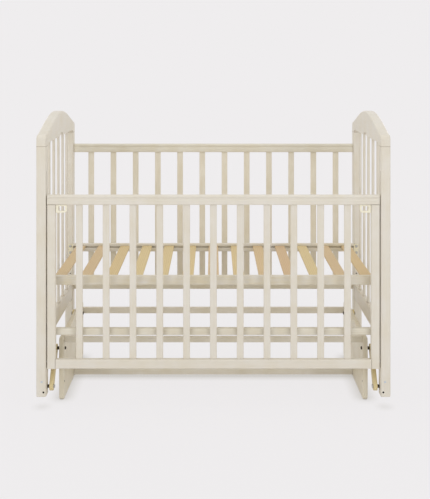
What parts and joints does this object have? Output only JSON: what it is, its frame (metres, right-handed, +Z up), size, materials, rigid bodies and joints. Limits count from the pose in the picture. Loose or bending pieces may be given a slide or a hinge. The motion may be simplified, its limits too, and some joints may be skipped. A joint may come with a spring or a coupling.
{
  "type": "pendulum crib",
  "caption": "Slatted wooden crib with arched ends and a sliding side, hung on splayed swing links from a low standing base.",
  "frame": {"origin": "on the floor under the middle of the crib", "axes": "+X along the crib, -Y towards the side that lowers, +Z up"},
  "size_m": [1.25, 0.66, 1.031],
  "materials": {
    "ivory_wood": "painted in ivory, satin",
    "slat_wood": "bare birch, matt",
    "link_wood": "varnished beech",
    "pull_plastic": "moulded, cream",
    "bush_plastic": "nylon",
    "plug_plastic": "moulded",
    "bracket_metal": "powder coated, cream",
    "zinc_steel": "zinc plated",
    "dark_steel": "blackened",
    "brass": "plain"
  },
  "bodies": {
    "base": {"base_board_left": "ivory_wood", "base_board_right": "ivory_wood", "base_front_beam": "ivory_wood", "base_rear_beam": "ivory_wood", "base_floor_beam": "ivory_wood", "base_screws": "zinc_steel", "upper_pivot_bolts": "dark_steel", "upper_pivot_nuts": "dark_steel", "upper_pivot_rings": "dark_steel"},
    "front_links": {"front_link_left": "link_wood", "front_link_right": "link_wood", "front_link_bushes": "bush_plastic"},
    "rear_links": {"rear_link_left": "link_wood", "rear_link_right": "link_wood", "rear_link_bushes": "bush_plastic"},
    "crib": {"front_post_left": "ivory_wood", "front_post_right": "ivory_wood", "rear_post_left": "ivory_wood", "rear_post_right": "ivory_wood", "crown_left": "ivory_wood", "crown_right": "ivory_wood", "cross_board_left": "ivory_wood", "cross_board_right": "ivory_wood", "end_bars_left": "ivory_wood", "end_bars_right": "ivory_wood", "crown_dowels": "ivory_wood", "post_plugs": "plug_plastic", "rear_top_rail": "ivory_wood", "rear_low_rail": "ivory_wood", "rear_bars": "ivory_wood", "front_stretcher": "ivory_wood", "joint_bolts": "zinc_steel", "barrel_nuts": "zinc_steel", "deck_front_board": "ivory_wood", "deck_rear_board": "ivory_wood", "deck_slats": "slat_wood", "deck_brackets": "bracket_metal", "bracket_screws": "zinc_steel", "board_screws": "zinc_steel", "lower_pivot_bolts": "dark_steel", "lower_pivot_rings": "dark_steel", "lower_pivot_inserts": "brass"},
    "drop_side": {"drop_top_rail": "ivory_wood", "drop_low_rail": "ivory_wood", "drop_stile_left": "ivory_wood", "drop_stile_right": "ivory_wood", "drop_bars": "ivory_wood", "guide_pins": "zinc_steel"},
    "catch_left": {"catch_pull_left": "pull_plastic", "catch_bolt_left": "zinc_steel", "catch_spring_left": "zinc_steel"},
    "catch_right": {"catch_pull_right": "pull_plastic", "catch_bolt_right": "zinc_steel", "catch_spring_right": "zinc_steel"}
  },
  "joints": [
    {"name": "front_link_swing", "type": "hinge", "parent": "base", "child": "front_links", "pos_m": [0, -0.222, 0.181], "axis": [1, 0, 0], "range_deg": [-10.1, 10.1]},
    {"name": "crib_swing", "type": "hinge", "parent": "front_links", "child": "crib", "pos_m": [0, -0.3, 0.0705], "axis": [1, 0, 0], "range_deg": [-7.4, 7.4]},
    {"name": "rear_link_swing", "type": "hinge", "parent": "base", "child": "rear_links", "pos_m": [0, 0.222, 0.181], "axis": [1, 0, 0], "range_deg": [-10.1, 10.1]},
    {"name": "drop_side_slide", "type": "slide", "parent": "crib", "child": "drop_side", "axis": [0, 0, 1], "range_m": [0, 0.12]},
    {"name": "catch_left_slide", "type": "slide", "parent": "drop_side", "child": "catch_left", "axis": [1, 0, 0], "range_m": [0, 0.01], "stiffness_N_per_m": 400, "springref_m": -0.01, "deforming": ["catch_spring_left"]},
    {"name": "catch_right_slide", "type": "slide", "parent": "drop_side", "child": "catch_right", "axis": [-1, 0, 0], "range_m": [0, 0.01], "stiffness_N_per_m": 400, "springref_m": -0.01, "deforming": ["catch_spring_right"]}
  ],
  "couplings": [
    {"joint": "front_link_swing", "follows": "crib_swing", "ratio": -1.3514},
    {"joint": "rear_link_swing", "follows": "crib_swing", "ratio": -1.3514}
  ]
}
